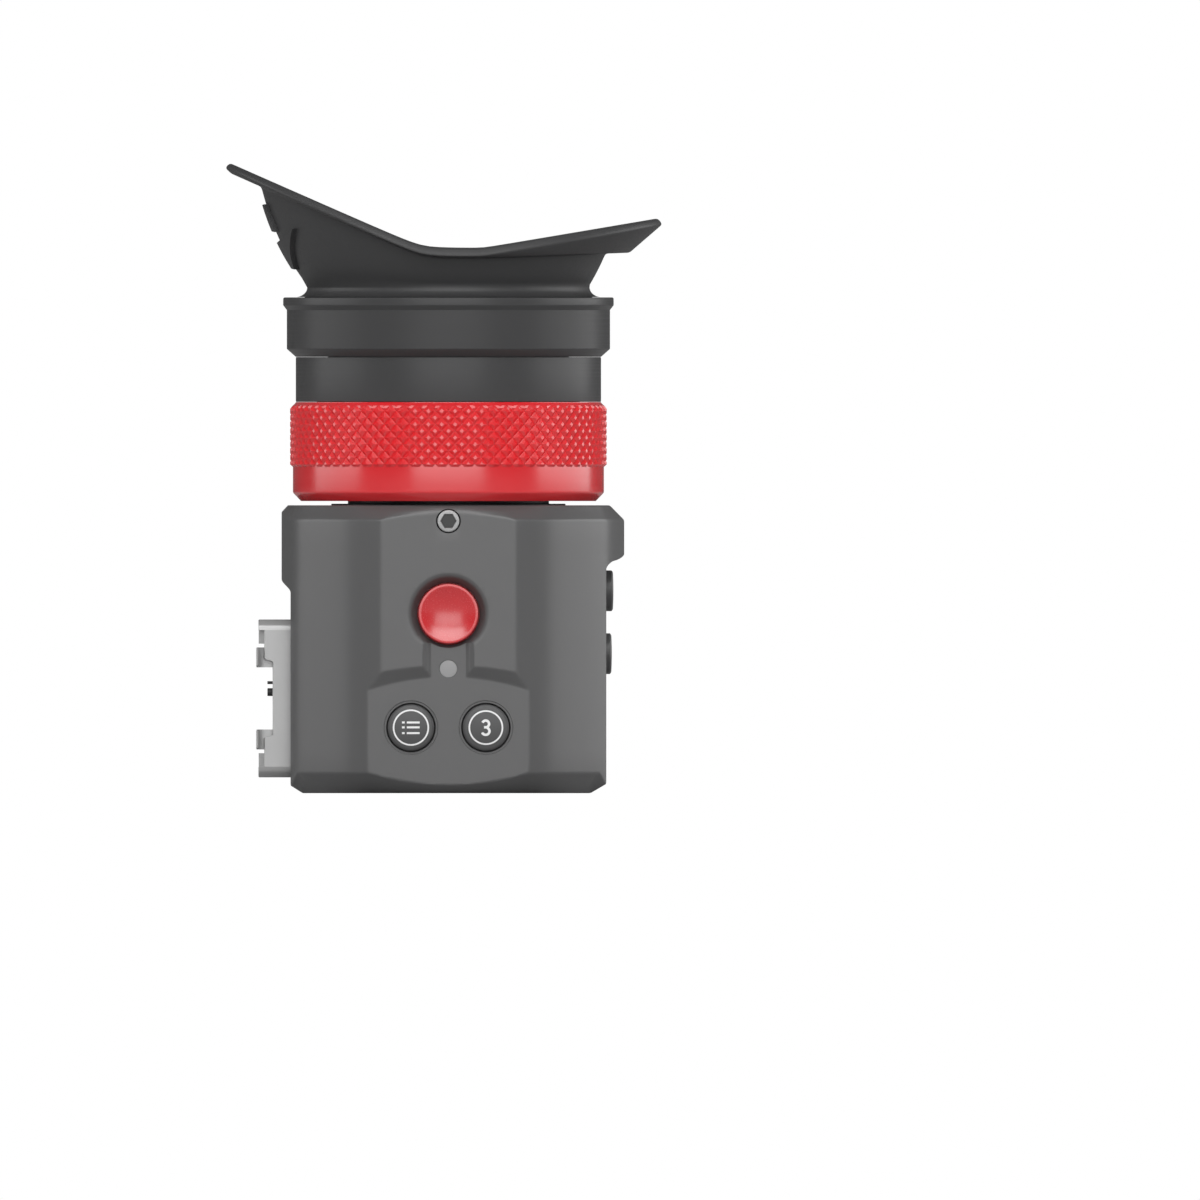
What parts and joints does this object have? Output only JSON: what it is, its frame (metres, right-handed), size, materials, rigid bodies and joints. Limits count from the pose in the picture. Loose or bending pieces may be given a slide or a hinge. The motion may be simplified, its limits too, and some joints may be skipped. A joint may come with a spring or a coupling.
{
  "type": "electronic viewfinder",
  "caption": "Electronic viewfinder with a turning rubber eyecup, knurled diopter ring, push buttons and a side interface receptacle.",
  "frame": {"origin": "on the optical axis at the flat bottom face", "axes": "+Z along the optical axis towards the eyecup, -Y out of the button face, +X out of the side buttons, -X out of the interface receptacle"},
  "size_m": [0.0822, 0.064, 0.1199],
  "materials": {
    "painted_body": "fine matte paint",
    "black_barrel": "black anodised, satin",
    "red_anodised": "red anodised, satin",
    "rubber": "matte moulded rubber",
    "red_plastic": "semi-gloss",
    "button_plastic": "matte, white print",
    "black_plastic": "matte",
    "bright_metal": "nickel plated sheet",
    "steel": "plain steel",
    "black_screw": "black oxide",
    "contact_gold": "gold plated",
    "lens_glass": "coated optical glass",
    "display_glass": "dark display glass",
    "board_green": "solder mask",
    "chip_black": "moulded package",
    "ribbon_amber": "flexible film",
    "lamp_white": "frosted clear"
  },
  "bodies": {
    "viewfinder_body": {"housing": "painted_body", "base_cover": "painted_body", "rear_cover": "painted_body", "rear_gasket": "rubber", "rear_screw_1": "black_screw", "rear_screw_2": "black_screw", "rear_screw_3": "black_screw", "rear_screw_4": "black_screw", "clamp_screw": "steel", "ocular_barrel": "black_barrel", "friction_ring": "rubber", "stop_pin": "steel", "upper_barrel": "black_barrel", "eyecup_holder": "black_barrel", "eyepiece_bezel": "black_plastic", "display_window": "lens_glass", "display_frame": "black_plastic", "display_panel": "display_glass", "display_board": "board_green", "display_screw_1": "steel", "display_screw_2": "steel", "main_board": "board_green", "main_board_screw_1": "steel", "main_board_screw_2": "steel", "processor": "chip_black", "ribbon_cable": "ribbon_amber", "button_board": "board_green", "record_switch": "black_plastic", "menu_switch": "black_plastic", "number_switch": "black_plastic", "status_lamp": "lamp_white", "light_pipe": "lamp_white", "side_button_board": "board_green", "upper_side_switch": "black_plastic", "lower_side_switch": "black_plastic", "receptacle_shell": "bright_metal", "receptacle_insulator": "black_plastic", "front_contacts": "contact_gold", "rear_contacts": "contact_gold", "receptacle_board": "board_green"},
    "diopter_ring": {"diopter_ring": "red_anodised"},
    "lens_group": {"lens_carrier": "black_plastic", "follower_pin_1": "steel", "follower_pin_2": "steel", "follower_pin_3": "steel", "field_lens": "lens_glass", "lower_spacer": "black_plastic", "middle_lens": "lens_glass", "upper_spacer": "black_plastic", "eye_lens": "lens_glass", "lens_retainer": "black_plastic"},
    "eyecup": {"eyecup": "rubber", "eyecup_core_ring": "black_plastic"},
    "record_button": {"record_button": "red_plastic"},
    "menu_button": {"menu_button": "button_plastic"},
    "number_button": {"number_button": "button_plastic"},
    "upper_side_button": {"upper_side_button": "button_plastic"},
    "lower_side_button": {"lower_side_button": "button_plastic"}
  },
  "joints": [
    {"name": "diopter_turn", "type": "hinge", "parent": "viewfinder_body", "child": "diopter_ring", "pos_m": [0, 0, 0.0649], "axis": [0, 0, 1], "range_deg": [-45, 45]},
    {"name": "lens_focus", "type": "slide", "parent": "viewfinder_body", "child": "lens_group", "axis": [0, 0, 1], "range_m": [-0.002, 0.002]},
    {"name": "eyecup_turn", "type": "hinge", "parent": "viewfinder_body", "child": "eyecup", "pos_m": [0, 0, 0.0942], "axis": [0, 0, 1], "continuous": true},
    {"name": "record_press", "type": "slide", "parent": "viewfinder_body", "child": "record_button", "axis": [0, 1, 0], "range_m": [0, 0.0005], "stiffness_N_per_m": 2000},
    {"name": "menu_press", "type": "slide", "parent": "viewfinder_body", "child": "menu_button", "axis": [0, 1, 0], "range_m": [0, 0.0004], "stiffness_N_per_m": 2000},
    {"name": "number_press", "type": "slide", "parent": "viewfinder_body", "child": "number_button", "axis": [0, 1, 0], "range_m": [0, 0.0004], "stiffness_N_per_m": 2000},
    {"name": "upper_side_press", "type": "slide", "parent": "viewfinder_body", "child": "upper_side_button", "axis": [-1, 0, 0], "range_m": [0, 0.0004], "stiffness_N_per_m": 2000},
    {"name": "lower_side_press", "type": "slide", "parent": "viewfinder_body", "child": "lower_side_button", "axis": [-1, 0, 0], "range_m": [0, 0.0004], "stiffness_N_per_m": 2000}
  ],
  "couplings": [
    {"joint": "lens_focus", "follows": "diopter_turn", "m_per_rad": 0.002546}
  ]
}
